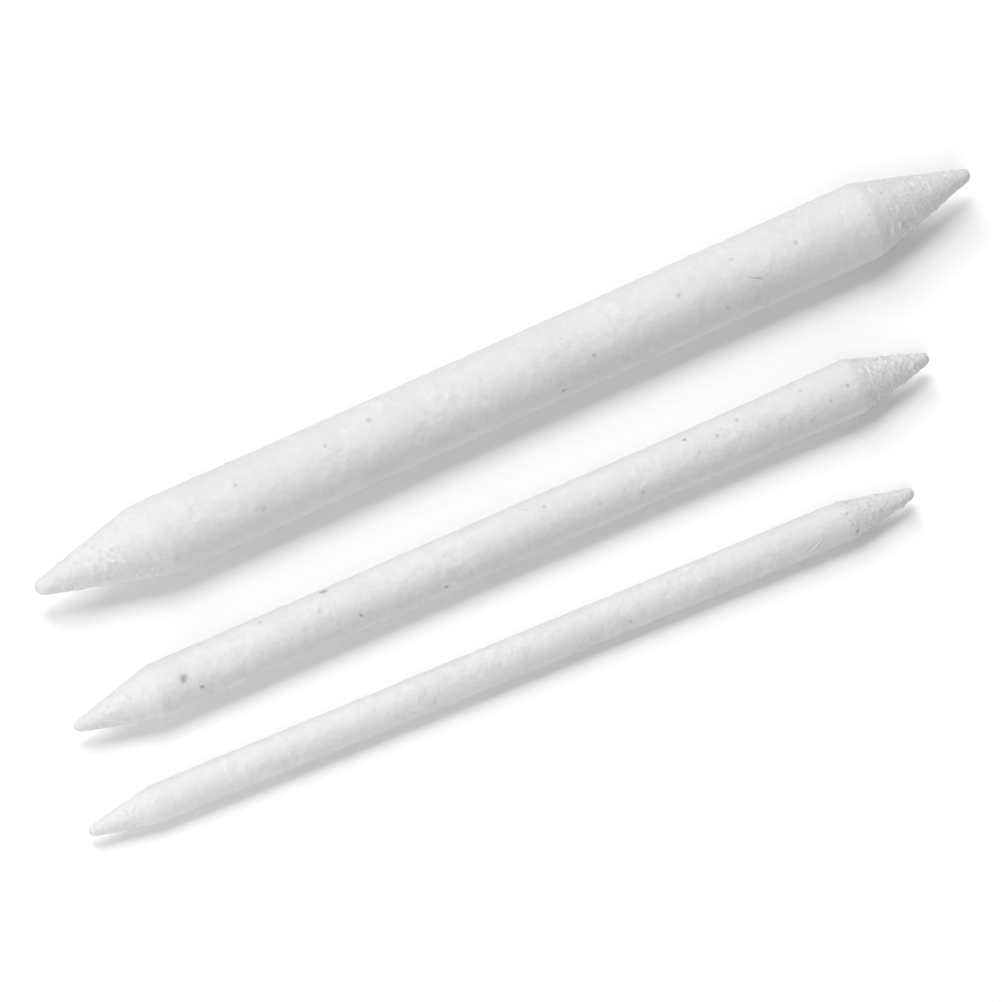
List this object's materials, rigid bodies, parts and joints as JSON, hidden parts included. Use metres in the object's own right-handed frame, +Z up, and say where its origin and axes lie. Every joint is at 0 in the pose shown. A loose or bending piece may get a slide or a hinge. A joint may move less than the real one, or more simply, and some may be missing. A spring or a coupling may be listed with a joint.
{
  "type": "blending stump",
  "caption": "Graded double-ended paper blending stumps for charcoal, graphite and pastel, with blunt cone points, laid out side by side.",
  "frame": {"origin": "on the table, under the middle of the set's bounding box", "axes": "+X along the large stump, +Y from the small stump towards the large one, +Z up"},
  "size_m": [0.162, 0.0506, 0.0117],
  "materials": {
    "paper_pulp": "matt white pressed paper pulp, pebbled on the stick and fuzzy on the ground cones"
  },
  "bodies": {
    "large_stump": {"large_stump": "paper_pulp"},
    "medium_stump": {"medium_stump": "paper_pulp"},
    "small_stump": {"small_stump": "paper_pulp"}
  },
  "joints": [
    {"name": "large_lift", "type": "slide", "parent": "medium_stump", "child": "large_stump", "axis": [0, 0, 1], "range_m": [0, 0.04]},
    {"name": "small_lift", "type": "slide", "parent": "medium_stump", "child": "small_stump", "axis": [0, 0, 1], "range_m": [0, 0.04]}
  ]
}
